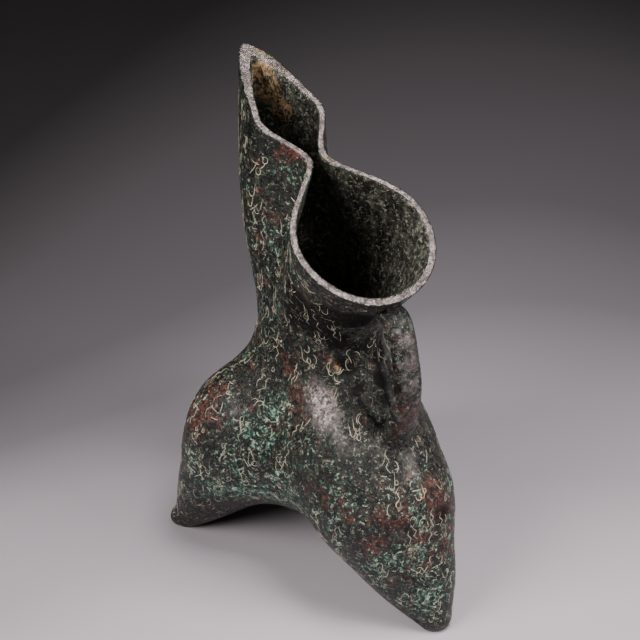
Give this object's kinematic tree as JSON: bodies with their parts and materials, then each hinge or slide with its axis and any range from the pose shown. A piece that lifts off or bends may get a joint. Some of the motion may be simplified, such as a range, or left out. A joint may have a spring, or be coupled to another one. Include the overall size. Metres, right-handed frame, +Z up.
{
  "type": "bronze pouring vessel",
  "caption": "Cast bronze libation vessel with hollow pouch legs, a tall neck, a long pinched pouring spout and a loop handle.",
  "frame": {"origin": "on the floor under the middle of the vessel's outline", "axes": "+Z up, the spout points along -X and the handle stands towards +X over the rear leg"},
  "size_m": [0.1896, 0.1552, 0.27],
  "materials": {
    "patinated_bronze": "dark green and red-brown patina, satin"
  },
  "bodies": {
    "root": {"vessel": "patinated_bronze"}
  },
  "joints": []
}
